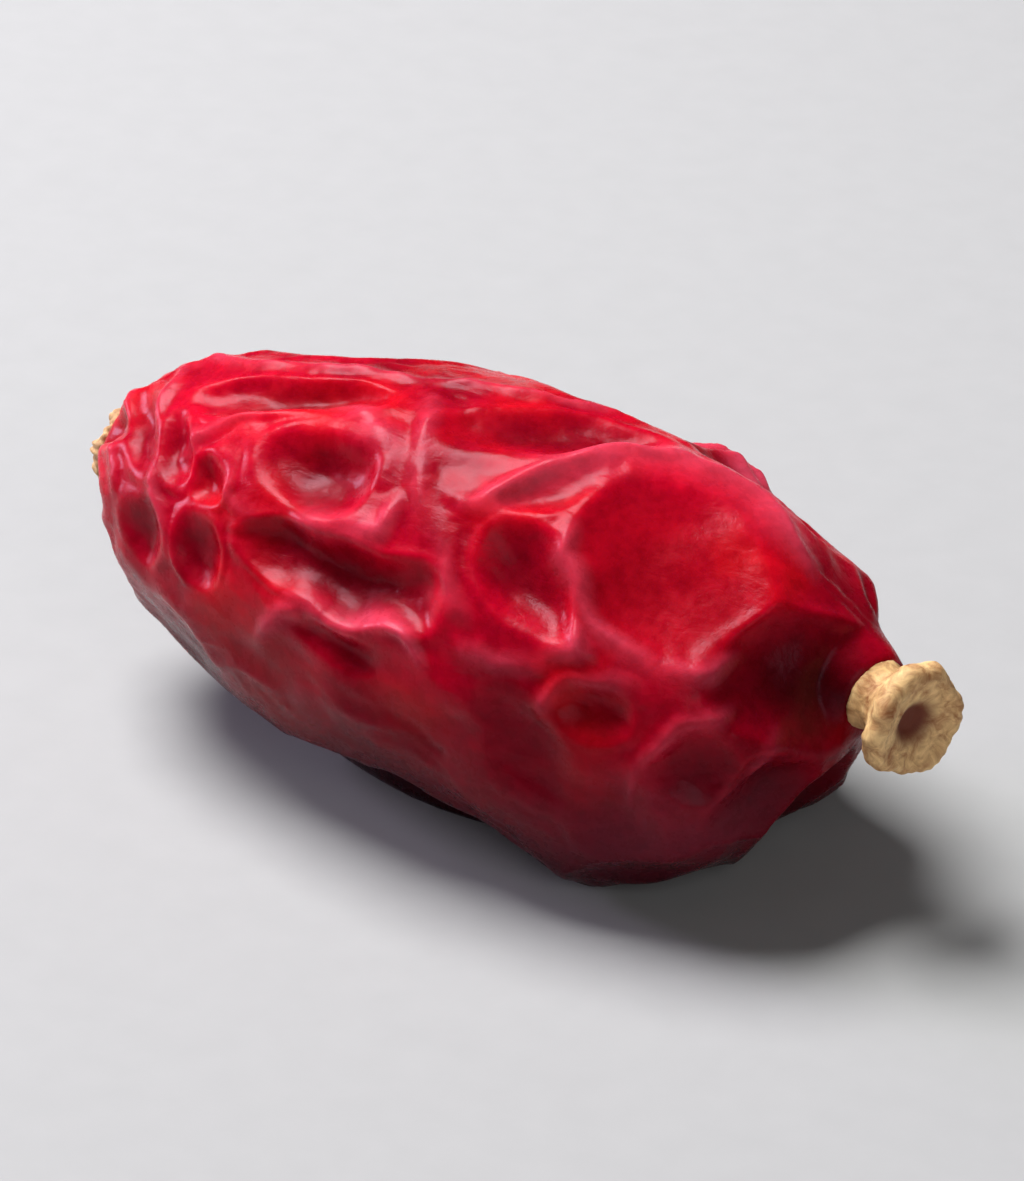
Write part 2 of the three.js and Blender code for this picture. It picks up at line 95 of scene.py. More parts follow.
# The large dents of the side that shows: how far along (-1 stalk, 1 stigma), the angle
# around (0 back, 90 top, 180 front), half length, half width, depth and turn
SHOWN_DENTS = (
    (-0.45, 107, 1.3, 0.38, 0.22, 8),
    (0.17, 92, 1.35, 0.5, 0.22, 28),
    (-0.27, 128, 0.8, 0.5, 0.22, 4),
    (-0.52, 142, 0.3, 0.3, 0.13, 0),
    (-0.11, 152, 1.4, 0.46, 0.28, 6),
    (-0.1, 171, 1, 0.24, 0.11, 4),
    (0.34, 134, 0.75, 0.48, 0.24, -37),
    (0.61, 118, 1.3, 1.1, 0.26, -27),
    (0.26, 111, 0.6, 0.3, 0.11, 45),
    (-0.81, 130, 0.7, 0.3, 0.13, -39),
    (-0.69, 168, 0.4, 0.4, 0.12, -44),
    (-0.66, 134, 0.5, 0.25, 0.13, -52),
    (-0.51, 163, 0.45, 0.3, 0.13, -42),
    (-0.29, 188, 1.1, 0.6, 0.09, 5),
    (0.14, 186, 1, 0.6, 0.09, 9),
    (0.44, 179, 0.7, 0.55, 0.12, -48),
    (0.58, 160, 0.42, 0.38, 0.13, 50),
    (0.81, 172, 0.45, 0.42, 0.16, 48),
    (0.93, 200, 0.7, 0.6, 0.3, 28),
    (0.66, 192, 0.6, 0.5, 0.11, -66),
    (0.1, 212, 1.6, 0.8, 0.12, 0),
    (0.1, 238, 2.4, 1.2, 0.34, 0),
    (-0.6, 208, 1, 0.7, 0.11, 0),
    (0.88, 78, 0.9, 0.8, 0.14, 0),
    (-0.8, 62, 0.7, 0.6, 0.24, 0),
    (-0.45, 52, 1.3, 0.8, 0.3, 10),
    (0.1, 46, 1.4, 0.8, 0.32, -6),
    (0.6, 52, 1.2, 0.8, 0.3, 8),
)

# The side that shows: its angles around, and how far along it goes either way
SHOWN_AROUND = (32, 225)
SHOWN_ALONG = 0.9

# The facet beside the stigma stays smooth: its middle and its reach, along and around
SMOOTH_MIDDLE, SMOOTH_REACH = (0.6, 119), (0.3, 32)

# How broad a ridge's rounded crest is, before its sides fall away
RIDGE_CREST = 0.04

# Ridges of that side that stand out by themselves: half width, height, then the places
# that each one runs through, along and around
SHOWN_RIDGES = (
    (0.6, 0.38, (0.42, 228), (0.6, 227), (0.76, 223), (0.93, 205)),
    (0.09, 0.1, (-0.93, 84), (-0.8, 84), (-0.6, 88), (-0.3, 88), (-0.02, 79), (0.16, 70),
     (0.4, 64)),
    (0.08, 0.08, (-0.7, 86), (-0.88, 82), (-0.93, 102), (-0.89, 132), (-0.83, 160), (-0.72, 190)),
    (0.08, 0.08, (-0.7, 84), (-0.82, 92), (-0.78, 120), (-0.72, 142), (-0.63, 160), (-0.48, 178)),
    (0.12, 0.09, (-0.68, 142), (-0.59, 128), (-0.47, 115), (-0.28, 108), (-0.1, 116), (-0.03, 134)),
    (0.09, 0.07, (-0.52, 112), (-0.5, 122), (-0.5, 134), (-0.44, 144), (-0.3, 150)),
    (0.12, 0.13, (-0.3, 147), (-0.21, 141), (-0.12, 137), (-0.04, 134), (-0.02, 122)),
    (0.13, 0.08, (-0.2, 82), (-0.1, 106), (-0.03, 121), (0.05, 131), (0.14, 139), (0.22, 148),
     (0.32, 160)),
    (0.24, 0.12, (0.06, 128), (0.16, 116), (0.3, 98), (0.42, 84), (0.55, 78), (0.72, 80), (0.9, 94)),
    (0.1, 0.1, (0.34, 106), (0.38, 124), (0.5, 135), (0.6, 142), (0.7, 146), (0.8, 140), (0.84, 120)),
    (0.11, 0.11, (0.18, 151), (0.26, 157), (0.35, 158), (0.44, 154), (0.5, 144), (0.46, 130)),
    (0.1, 0.15, (-0.34, 186), (-0.26, 176), (-0.19, 164), (-0.1, 165), (-0.03, 159),
     (0.08, 159), (0.2, 170)),
    (0.12, 0.05, (-0.6, 200), (-0.3, 196), (0, 190), (0.2, 188)),
    (0.12, 0.04, (-0.35, 214), (0, 208), (0.3, 206)),
    (0.09, 0.08, (0.45, 172), (0.48, 162), (0.51, 155), (0.58, 149), (0.66, 149), (0.73, 154)),
    (0.09, 0.09, (0.68, 198), (0.69, 182), (0.71, 170), (0.76, 159), (0.84, 153), (0.9, 147)),
    (0.09, 0.09, (0.78, 216), (0.82, 205), (0.86, 194), (0.91, 184), (0.95, 172), (0.97, 156)),
    (0.08, 0.07, (0.84, 230), (0.88, 220), (0.93, 209), (0.96, 196)),
)

# Ridges of the side that's hidden are drawn: each wanders along the berry from its start,
# a step along and a turn around at a time
HIDDEN_RIDGES = dict(seed=41, count=24, places=5, wide=(0.08, 0.13), high=(0.09, 0.18))
RIDGES_AROUND = (252, 388)
RIDGE_START = (-0.95, 0.3)
RIDGE_END = 0.93
RIDGE_STEP = (0.08, 0.24)
RIDGE_TURN = 20

# Drawn dents: how many, and the least and most of each measure
LARGE = dict(seed=5, count=56, wide=(0.5, 0.9), deep=(0.2, 0.4), stretch=(1.2, 2.4))
SMALL = dict(seed=23, count=150, wide=(0.25, 0.5), deep=(0.01, 0.03), stretch=(1.4, 2.8))
FINE = dict(seed=31, count=900, wide=(0.08, 0.2), deep=(0.006, 0.018), stretch=(1.4, 3.6))
SCATTER_ALONG, SCATTER_AROUND, SCATTER_TURN = 0.04, 0.35, 25
SCATTER_LIMIT = 0.98

# Folds that run together at both tips
FOLD_COUNT = 8
FOLD_ALONG = (0.9, 0.96)
FOLD_SIZES = ((0.5, 0.9), (0.2, 0.32), (0.1, 0.2))  # half length, half width, depth
FOLDS_UNEVEN = 0.25
STIGMA_FOLDS_SEED, STALK_FOLDS_SEED = 3, 4

# Ridges where two dents meet: roundness, height, and how near the two depths must be
LARGE_RIDGE = (0.035, 0.045, 0.09)
SMALL_RIDGE = (0.006, 0.008, 0.012)
FINE_RIDGE = (0.003, 0.004, 0.005)

# Waves that make the dents' outlines wander
SLOW_WANDER = dict(seed=11, count=9, amount=0.06, length=(1.5, 3.4))
QUICK_WANDER = dict(seed=12, count=12, amount=0.05, length=(0.5, 1.3))
WAVE_SHARE = 0.58

# The fine wrinkles come in between these heights, counted from the berry's own middle
FINE_FROM = (-2.2, -0.8)

# What the skin's painted light and shade follow: the depth at which a fold's painted shade is
# darkest, how much less of that shade the smooth facet shows, the share of each kind of ridge
# that gets a painted pale highlight, and the heights between which painted shade darkens the
# skin toward the side that it lay on
FULL_SHADE_DEPTH = 0.36
FACET_CLEARNESS = 0.6
# How far out from the smooth facet's middle its painted glow fades away
FACET_EDGE = (0.5, 1.1)
LARGE_RIDGE_HIGHLIGHT, SMALL_RIDGE_HIGHLIGHT, LONE_RIDGE_HIGHLIGHT = 0.08, 0.04, 10
# Lone ridges need this height before they get a painted highlight
UNLIT_RIDGE_HEIGHT = 0.03
SHADED_SIDE = (0.3, 3.4)

# Flat seats at the tips for the two woody pieces
SEAT_DEPTH = 0.02
SEAT_BLEND = 0.2
SEAT_REACH = 1
STIGMA_SEAT = 0.4
STALK_SEAT = 0.42
STIGMA_TURN = math.radians(-20)

GOLDEN_ANGLE = math.pi * (3 - math.sqrt(5))


def draw_from(seed):
    """Seeded draws, the same as the part's own."""
    state = seed

    def draw(low, high):
        nonlocal state
        state = (state + 0x6D2B79F5) & 0xFFFFFFFF
        t = (state ^ (state >> 15)) * (1 | state) & 0xFFFFFFFF
        t = (t + ((t ^ (t >> 7)) * (61 | t) & 0xFFFFFFFF) & 0xFFFFFFFF) ^ t
        return low + (high - low) * (t ^ (t >> 14)) / 2**32

    return draw


def unit(vectors):
    return vectors / np.linalg.norm(vectors, axis=-1, keepdims=True)


def smoothstep(x, low, high):
    t = np.clip((x - low) / (high - low), 0, 1)
    return t * t * (3 - 2 * t)


# The plump form


def rise_at(along):
    stalk_side = STALK_RISE * along**STALK_SNUB
    return np.where(along > 0, STIGMA_RISE * along**STIGMA_SNUB, stalk_side)


def plump_points(directions):
    along, y, z = np.moveaxis(np.asarray(directions, float), -1, 0)
    bluntness = STALK_BLUNTNESS + (STIGMA_BLUNTNESS - STALK_BLUNTNESS) * (along + 1) / 2
    girth = np.maximum(0, 1 - along**2) ** bluntness * (1 + FULLER_TIP * along)
    around = np.arctan2(z, y)
    under = np.maximum(0, -np.sin(around)) ** UNDERSIDE_NARROW
    height = HALF_HEIGHT * girth * np.sin(around) * (1 - UNDERSIDE_TAPER * along * under)
    width = HALF_WIDTH * girth * np.cos(around)
    nose = np.where(along > 0, NOSE_LENGTH * np.exp(-((girth / NOSE_GIRTH) ** 2)), 0)
    return np.stack([HALF_LENGTH * along + nose, width, height + rise_at(along)], -1)


def ways_out(points):
    x, y, z = np.moveaxis(points, -1, 0)
    lift = rise_at(np.minimum(1, x / HALF_LENGTH))
    return unit(np.stack([x / HALF_LENGTH**2, y / HALF_WIDTH**2, (z - lift) / HALF_HEIGHT**2], -1))


# Dents, and how far from a dent's middle or a ridge's span the skin is worked on

DENT_REACH = 1.6
SPAN_REACH = 2.5
NO_DENT = 9.0


def place_at(along, around_deg):
    ring, around = math.sqrt(1 - along**2), math.radians(around_deg)
    return plump_points([along, ring * math.cos(around), ring * math.sin(around)])


def dent_at(along, around_deg, long, wide, deep, turn_deg):
    """A dent's middle, its axes scaled to its size, its reach and its depth."""
    middle = place_at(along, around_deg)
    out = ways_out(middle)
    lengthways = unit(np.array([1.0, 0, 0]) - out * out[0])
    turn = math.radians(turn_deg)
    lengthways = lengthways * math.cos(turn) + np.cross(out, lengthways) * math.sin(turn)
    across = np.cross(out, lengthways)
    axes = np.stack([lengthways / long, across / wide, out / min(long, wide)], 1)
    return middle, axes, DENT_REACH * max(long, wide), deep


def drawn_dents(seed, count, wide, deep, stretch, wanted):
    draw = draw_from(seed)
    dents = []
    for i in range(count):
        along = 1 - (2 * i + 1) / count + draw(-SCATTER_ALONG, SCATTER_ALONG)
        along = min(SCATTER_LIMIT, max(-SCATTER_LIMIT, along))
        around = i * GOLDEN_ANGLE + draw(-SCATTER_AROUND, SCATTER_AROUND)
        around = math.degrees(around) % 360
        half_width = draw(*wide)
        half_length = half_width * draw(*stretch)
        depth, turn = draw(*deep), draw(-SCATTER_TURN, SCATTER_TURN)
        if wanted(along, around):
            dents.append(dent_at(along, around, half_length, half_width, depth, turn))
    return dents


def tip_folds(seed, end):
    draw = draw_from(seed)
    folds = []
    for i in range(FOLD_COUNT):
        along = end * draw(*FOLD_ALONG)
        around = (i + draw(-FOLDS_UNEVEN, FOLDS_UNEVEN)) * 360 / FOLD_COUNT
        folds.append(dent_at(along, around, *(draw(*size) for size in FOLD_SIZES), 0))
    return folds


def is_hidden(along, around):
    shown = SHOWN_AROUND[0] < around < SHOWN_AROUND[1]
    return not shown or abs(along) >= SHOWN_ALONG


def off_facet(along, around):
    """How far a place is from the middle of the smooth facet; 1 is its edge."""
    (middle, middle_around), (reach, reach_around) = SMOOTH_MIDDLE, SMOOTH_REACH
    return np.hypot((along - middle) / reach, (around - middle_around) / reach_around)


def is_wrinkled(along, around):
    return off_facet(along, around) > 1


def wander_from(seed, count, amount, length):
    draw = draw_from(seed)
    waves = []
    for i in range(count):
        wave = unit(np.array([draw(-1, 1), draw(-1, 1), draw(-1, 1)]))
        wave = wave * (2 * math.pi / draw(*length))
        waves.append((wave, draw(0, 2 * math.pi), i % 3))

    def wander(points):
        moved = points.copy()
        for wave, phase, axis in waves:
            moved[:, axis] += amount * WAVE_SHARE * np.sin(points @ wave + phase)
        return moved

    return wander


def relief_at(points, dents, ridge):
    """How far the skin stands off the plump form, and how much of a ridge it is there."""
    roundness, raised, reach = ridge
    total = np.ones(len(points))
    lowest = np.zeros(len(points))
    following = np.full(len(points), NO_DENT)
    for middle, axes, size, deep in dents:
        near = np.nonzero(np.abs(points - middle).max(1) < size)[0]
        level = deep * ((((points[near] - middle) @ axes) ** 2).sum(1) - 1)
        total[near] += np.exp(-level / roundness)
        following[near] = np.minimum(following[near], np.maximum(level, lowest[near]))
        lowest[near] = np.minimum(lowest[near], level)
    crest = np.exp(-(((following - lowest) / reach) ** 2))
    return raised * crest - roundness * np.log(total), crest


def drawn_ridges(seed, count, places, wide, high):
    draw = draw_from(seed)
    first, last = RIDGES_AROUND
    ridges = []
    for i in range(count):
        ridge = [draw(*wide), draw(*high)]
        along = draw(*RIDGE_START)
        around = first + (last - first) * (i + 0.5) / count
        for _ in range(places):
            along = min(along + draw(*RIDGE_STEP), RIDGE_END)
            around += draw(-RIDGE_TURN, RIDGE_TURN)
            ridge.append((along, around))
        ridges.append(ridge)
    return ridges


def ridges_at(points, ridges):
    """The height of the ridges that stand out by themselves."""
    highest = np.zeros(len(points))
    for wide, high, *through in ridges:
        places = [place_at(*place) for place in through]
        last = len(places) - 2
        for i, (start, end) in enumerate(zip(places, places[1:])):
            off_middle = np.linalg.norm(points - (start + end) / 2, axis=1)
            near = np.nonzero(off_middle < SPAN_REACH)[0]
            away, span = points[near] - start, end - start
            share = np.clip(away @ span / (span @ span), 0, 1)
            off = np.linalg.norm(away - share[:, None] * span, axis=1)
            full = (1 - share) * (i > 0) + share * (i < last)
            skirt = np.exp((RIDGE_CREST - np.hypot(off, RIDGE_CREST)) / wide)
            crest = high * smoothstep(full, 0, 1) * skirt
            highest[near] = np.maximum(highest[near], crest)
    return highest


def dent_share(points):
    along = (points[:, 0] - FLAT_ALONG * HALF_LENGTH) / FLAT_CLEAR[0]
    share = smoothstep(np.hypot(along, points[:, 1] / FLAT_CLEAR[1]), *FLAT_FADE)
    return np.where(points[:, 2] > 0, 1, share)


# Seats


def seat_at(end, radius, turn):
    out = np.array([end * math.cos(turn), end * math.sin(turn), 0])
    return plump_points([end, 0, 0]) - out * SEAT_DEPTH, out, radius


def press_onto(seat, points):
    centre, out, radius = seat
    away = points - centre
    height = away @ out
    off = np.linalg.norm(away - height[:, None] * out, axis=1)
    share = 1 - smoothstep(off, radius, radius + SEAT_BLEND)
    share[np.abs(height) > SEAT_REACH] = 0
    return points - out * (height * share)[:, None]


STIGMA_PLACE = seat_at(1, STIGMA_SEAT, STIGMA_TURN)
STALK_PLACE = seat_at(-1, STALK_SEAT, 0)


# Meshes


def ball_of_squares(cuts):
    """A box's net of squares blown up to a ball, as directions and corner numbers."""
    corners, squares = [], []
    for axis in range(3):
        first, second = (axis + 1) % 3, (axis + 2) % 3
        shape = (cuts[first] + 1, cuts[second] + 1)
        rows, columns = (a.ravel() for a in np.indices(shape))
        for side in (0, cuts[axis]):
            place = np.zeros((len(rows), 3), int)
            place[:, axis], place[:, first], place[:, second] = side, rows, columns
            start = sum(len(c) for c in corners)
            number = np.arange(len(rows)).reshape(shape) + start
            square = [number[:-1, :-1], number[1:, :-1], number[1:, 1:], number[:-1, 1:]]
            square = np.stack([s.ravel() for s in square], 1)
            corners.append(place)
            squares.append(square if side else square[:, ::-1])
    corners, welded = np.unique(np.concatenate(corners), axis=0, return_inverse=True)
    even = np.tan((2 * corners / np.array(cuts) - 1) * math.pi / 4)
    return unit(even), welded.ravel()[np.concatenate(squares)]


def lie_down(points):
    """From the berry's own axes to the frame's, still in millimetres."""
    cos, sin = math.cos(NOSE_DOWN), math.sin(NOSE_DOWN)
    x, y, z = points.T
    return np.stack([x * cos + z * sin, y, z * cos - x * sin], 1)


def mesh_piece(name, points, faces, node, material, shades):
    mesh = bpy.data.meshes.new(name)
    mesh.from_pydata((points * MM).tolist(), [], faces)
    mesh.polygons.foreach_set("use_smooth", [True] * len(mesh.polygons))
    for shade, values in shades.items():
        mesh.attributes.new(shade, "FLOAT", "POINT").data.foreach_set("value", values)
    mesh.materials.append(material)
    piece = bpy.data.objects.new(name, mesh)
    bpy.context.scene.collection.objects.link(piece)
    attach(piece, "root")
    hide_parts(node)


# Materials


# A colour mix's sockets by number, because its kinds of value share their names
MIX_A, MIX_B, MIX_RESULT = 6, 7, 2


def linear(hex_colour):
    channels = [int(hex_colour[i : i + 2], 16) / 255 for i in (1, 3, 5)]
    return [c / 12.92 if c <= 0.04045 else ((c + 0.055) / 1.055) ** 2.4 for c in channels] + [1]


def add_node(tree, kind, inputs=None, **settings):
    node = tree.nodes.new(kind)
    for name, value in settings.items():
        setattr(node, name, value)
    for socket, value in (inputs or {}).items():
        if isinstance(value, bpy.types.NodeSocket):
            tree.links.new(value, node.inputs[socket])
        else:
            node.inputs[socket].default_value = value
    return node


def new_material(name):
    material = bpy.data.materials.new(name)
    material.use_nodes = True
    tree = material.node_tree
    tree.nodes.clear()
    place = add_node(tree, "ShaderNodeTexCoord").outputs["Object"]
    return material, tree, place


def per_mm(size):
    """A texture's scale for features of this many millimetres."""
    return 1 / (size * MM)


def skin_colour(tree, place, mottle):
    """Red in soft patches, with a painted red glow, painted shade in the folds and underneath, and
    painted pale highlights on the ridges.
    """
    shades = {name: add_node(tree, "ShaderNodeAttribute", attribute_name=name).outputs["Fac"]
              for name in ("painted_fold_shade", "crest", "underside", "painted_glow")}
    patches = add_node(tree, "ShaderNodeTexNoise",
                       {"Vector": place, "Scale": per_mm(1.6), "Detail": 5, "Roughness": 0.6})
    body = add_node(tree, "ShaderNodeValToRGB", {"Fac": patches.outputs["Fac"]})
    stops = body.color_ramp.elements
    stops[0].position, stops[0].color = 0.34, linear("#8A0016")
    stops[1].position, stops[1].color = 0.66, linear("#C80426")
    middle = stops.new(0.5)
    middle.color = linear("#AC0220")
    # Painted glow: a brighter red in patches and on the smooth facet, for light through the skin and
    # light falling on the facet
    glow_patches = add_node(tree, "ShaderNodeTexNoise",
                       {"Vector": place, "Scale": per_mm(1.3), "Detail": 2, "Roughness": 0.5})
    patchy = add_node(tree, "ShaderNodeMapRange",
                      {"Value": glow_patches.outputs["Fac"], "From Min": 0.52, "From Max": 0.72,
                       "To Min": 0.0, "To Max": 0.7})
    painted_glow = add_node(tree, "ShaderNodeMath",
                    {0: shades["painted_glow"], 1: 0.3, 2: patchy.outputs["Result"]},
                    operation="MULTIPLY_ADD", use_clamp=True)
    # Painted highlight: the ridges are coloured pale pink where light would catch them
    ridge_highlight = add_node(tree, "ShaderNodeMath", {0: shades["crest"], 1: 0.7}, operation="MULTIPLY")
    # Painted shade: the skin is coloured darker toward the side it lies on
    low = add_node(tree, "ShaderNodeMath", {0: shades["underside"], 1: 0.95},
                   operation="MULTIPLY")
    colour = body.outputs["Color"]
    for share, tint in ((painted_glow.outputs[0], "#D00A14"), (shades["painted_fold_shade"], "#4A010A"),
                        (ridge_highlight.outputs[0], "#D84862"), (low.outputs[0], "#2C0008")):
        mixed = add_node(tree, "ShaderNodeMix",
                         {"Factor": share, MIX_A: colour, MIX_B: linear(tint)},
                         data_type="RGBA")
        colour = mixed.outputs[MIX_RESULT]
    brightness = add_node(tree, "ShaderNodeMapRange",
                          {"Value": mottle, "From Min": 0.3, "From Max": 0.7,
                           "To Min": 0.82, "To Max": 1.12})
    mottled = add_node(tree, "ShaderNodeHueSaturation",
                       {"Value": brightness.outputs["Result"], "Color": colour})
    return mottled.outputs["Color"]


def skin_grain(tree, place, mottle):
    """Fine leather and creases that run along the berry, as a normal."""
    lengthways = add_node(tree, "ShaderNodeMapping", {"Vector": place, "Scale": (0.45, 1, 1)})
    creases = add_node(tree, "ShaderNodeTexNoise",
                       {"Vector": lengthways.outputs["Vector"], "Scale": per_mm(0.16),
                        "Detail": 4, "Roughness": 0.6, "Distortion": 1.6})
    leather = add_node(tree, "ShaderNodeTexVoronoi",
                       {"Vector": place, "Scale": per_mm(0.11)}, feature="SMOOTH_F1")
    grain = add_node(tree, "ShaderNodeMath", {0: leather.outputs["Distance"], 1: 0.5, 2: mottle},
                     operation="MULTIPLY_ADD")
    creased = add_node(tree, "ShaderNodeMath",
                       {0: creases.outputs["Fac"], 1: 1.2, 2: grain.outputs[0]},
                       operation="MULTIPLY_ADD")
    bump = add_node(tree, "ShaderNodeBump",
                    {"Height": creased.outputs[0], "Strength": 0.35, "Distance": 0.014 * MM})
    return bump.outputs["Normal"]


def dried_skin():
    # The skin of a dried fruit: a waxy cuticle over shrunken pulp. It is satin and lets red light
    # through; its colour adds a painted glow, painted shade in its folds and underneath, and painted
    # highlights on its ridges.
    material, tree, place = new_material("dried_barberry_skin")
    noise = add_node(tree, "ShaderNodeTexNoise",
                     {"Vector": place, "Scale": per_mm(0.16), "Detail": 4, "Roughness": 0.6})
    mottle = noise.outputs["Fac"]
    gloss = add_node(tree, "ShaderNodeMapRange",
                     {"Value": mottle, "From Min": 0.3, "From Max": 0.7,
                      "To Min": 0.22, "To Max": 0.34})
    shader = add_node(tree, "ShaderNodeBsdfPrincipled",
                      {"Base Color": skin_colour(tree, place, mottle),
                       "Roughness": gloss.outputs["Result"],
                       "Normal": skin_grain(tree, place, mottle),
                       "IOR": 1.45, "Specular IOR Level": 0.14, "Specular Tint": linear("#F8C8DC"),
                       "Subsurface Weight": 0.3,
                       "Subsurface Radius": (1, 0.12, 0.08), "Subsurface Scale": 0.5 * MM})
    add_node(tree, "ShaderNodeOutputMaterial", {"Surface": shader.outputs["BSDF"]})
    return material


def dry_wood(name, pale, dark, pit, size):
    # Dried woody tissue of the style or the stalk: matte, fibrous, bleached on its edges
    # and brown where it is sunken.
    material, tree, place = new_material(name)
    depth = add_node(tree, "ShaderNodeAttribute", attribute_name="pit").outputs["Fac"]
    fibres = add_node(tree, "ShaderNodeTexNoise",
                      {"Vector": place, "Scale": per_mm(size), "Detail": 6, "Roughness": 0.65,
                       "Distortion": 0.6})
    tone = add_node(tree, "ShaderNodeValToRGB", {"Fac": fibres.outputs["Fac"]})
    stops = tone.color_ramp.elements
    stops[0].position, stops[0].color = 0.3, linear(dark)
    stops[1].position, stops[1].color = 0.62, linear(pale)
    sunk = add_node(tree, "ShaderNodeMix",
                    {"Factor": depth, MIX_A: tone.outputs["Color"], MIX_B: linear(pit)},
                    data_type="RGBA")
    bump = add_node(tree, "ShaderNodeBump",
                    {"Height": fibres.outputs["Fac"], "Strength": 0.5, "Distance": 0.02 * MM})
    shader = add_node(tree, "ShaderNodeBsdfPrincipled",
                      {"Base Color": sunk.outputs[MIX_RESULT], "Roughness": 0.72,
                       "Normal": bump.outputs["Normal"], "Subsurface Weight": 0.15,
                       "Subsurface Radius": (1, 0.6, 0.35), "Subsurface Scale": 0.15 * MM})
    add_node(tree, "ShaderNodeOutputMaterial", {"Surface": shader.outputs["BSDF"]})
    return material


# The berry


def raised_skin(directions):
    """The skin on the berry's own axes, and what its colour follows."""
    shown = [dent_at(*row) for row in SHOWN_DENTS]
    hidden = drawn_dents(**LARGE, wanted=is_hidden)
    large = shown + hidden + tip_folds(STIGMA_FOLDS_SEED, 1) + tip_folds(STALK_FOLDS_SEED, -1)
    points = plump_points(directions)
    moved = wander_from(**QUICK_WANDER)(wander_from(**SLOW_WANDER)(points))
    relief, crest = relief_at(moved, large, LARGE_RIDGE)
    small, small_crest = relief_at(moved, drawn_dents(**SMALL, wanted=is_wrinkled), SMALL_RIDGE)
    fine, _ = relief_at(moved, drawn_dents(**FINE, wanted=is_wrinkled), FINE_RIDGE)
    fine *= smoothstep(points[:, 2], *FINE_FROM)
    ridges = ridges_at(moved, [*SHOWN_RIDGES, *drawn_ridges(**HIDDEN_RIDGES)])
    depth = (relief + small + fine + ridges) * dent_share(points)
    skin = points + ways_out(points) * depth[:, None]
    for seat in (STIGMA_PLACE, STALK_PLACE):
        skin = press_onto(seat, skin)
    around = np.degrees(np.arctan2(directions[:, 2], directions[:, 1])) % 360
    # Painted glow on the smooth facet beside the stigma
    painted_glow = 1 - smoothstep(off_facet(directions[:, 0], around), *FACET_EDGE)
    # Painted shade: the skin is coloured darker the deeper a fold sinks, less so on the smooth facet
    fold_shade = np.clip(-(relief + small) / FULL_SHADE_DEPTH, 0, 1)
    # Painted highlight on the ridges, carried in the crest shade
    ridge_highlight_share = LARGE_RIDGE_HIGHLIGHT * crest + SMALL_RIDGE_HIGHLIGHT * small_crest + LONE_RIDGE_HIGHLIGHT * (ridges - UNLIT_RIDGE_HEIGHT)
    shades = {"painted_fold_shade": fold_shade * (1 - FACET_CLEARNESS * painted_glow), "crest": np.clip(ridge_highlight_share, 0, 1),
              "painted_glow": painted_glow}
    return skin, shades


def make_berry():
    """Makes the skin, flat where it lies, and tells how far it was moved to its place."""
    directions, squares = ball_of_squares((CUTS_ALONG, CUTS_ACROSS, CUTS_ACROSS))
    skin, shades = raised_skin(directions)
    skin = lie_down(skin)
    floor = skin[:, 2].min() + FLAT_DEPTH
    skin[:, 2] = np.maximum(skin[:, 2], floor)
    low, high = (np.array(corner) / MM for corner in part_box("berry"))
    move = (low + high) / 2 - (skin.min(0) + skin.max(0)) / 2
    move[2] = -floor
    skin += move
    # Painted shade, strongest low down toward the floor
    shades["underside"] = 1 - smoothstep(skin[:, 2], *SHADED_SIDE)
    mesh_piece("berry_skin", skin, squares.tolist(), "berry", dried_skin(), shades)
    return move


# The woody pieces

TURNED_SEGMENTS = 144
PROFILE_STEPS = 5


def turned_solid(profile, shape, segments):
    """Turns [radius, height, ...] rows round Z; the first and last lie on the axis."""
    angles = np.arange(segments) * 2 * math.pi / segments
    rings = [shape(radius, height, angles) for radius, height in profile[1:-1]]
    ends = [(0, 0, profile[0][1]), (0, 0, profile[-1][1])]
    points = np.concatenate([ends, *rings])
    number = np.arange(len(rings) * segments).reshape(len(rings), segments) + 2
    ahead = np.roll(number, -1, axis=1)
    sides = np.stack([number[:-1], ahead[:-1], ahead[1:], number[1:]], -1).reshape(-1, 4)
    bottom = np.stack([np.zeros(segments, int), ahead[0], number[0]], 1)
    top = np.stack([np.ones(segments, int), number[-1], ahead[-1]], 1)
    return points, sides.tolist() + bottom.tolist() + top.tolist()


def ring(radius, height, angles):
    radius, height = np.broadcast_to(radius, angles.shape), np.broadcast_to(height, angles.shape)
    return np.stack([radius * np.cos(angles), radius * np.sin(angles), height], 1)


def stand_on(seat, points, move):
    """Puts a piece that was turned round +Z on its seat, in the frame's place."""
    centre, out, _ = seat
    turn = np.array(Vector((0, 0, 1)).rotation_difference(Vector(out)).to_matrix())
    return lie_down(points @ turn.T + centre) + move


def waves_at(angles, rows):
    return sum(high * np.sin(turns * angles + phase) for turns, high, phase in rows)


def smooth_profile(rows, steps):
    """A profile with a rounded run of points through its rows."""
    rows = np.array(rows, float)
    along = np.concatenate([[0], np.cumsum(np.linalg.norm(np.diff(rows, axis=0), axis=1))])
    slopes = np.gradient(rows, along, axis=0)
    made = [rows[0]]
    for i in range(len(rows) - 1):
        span = along[i + 1] - along[i]
        for t in np.arange(1, steps + 1) / steps:
            h = (2 * t**3 - 3 * t**2 + 1, t**3 - 2 * t**2 + t, 3 * t**2 - 2 * t**3, t**3 - t**2)
            made.append(h[0] * rows[i] + h[1] * span * slopes[i]
                        + h[2] * rows[i + 1] + h[3] * span * slopes[i + 1])
    return np.array(made)


NECK_RADIUS = 0.38
NECK_LENGTH = 0.38
BUTTON_RADIUS = 0.64
BUTTON_THICKNESS = 0.32
PIT_RADIUS = 0.18
PIT_DEPTH = 0.2
STIGMA_TOP = NECK_LENGTH + BUTTON_THICKNESS
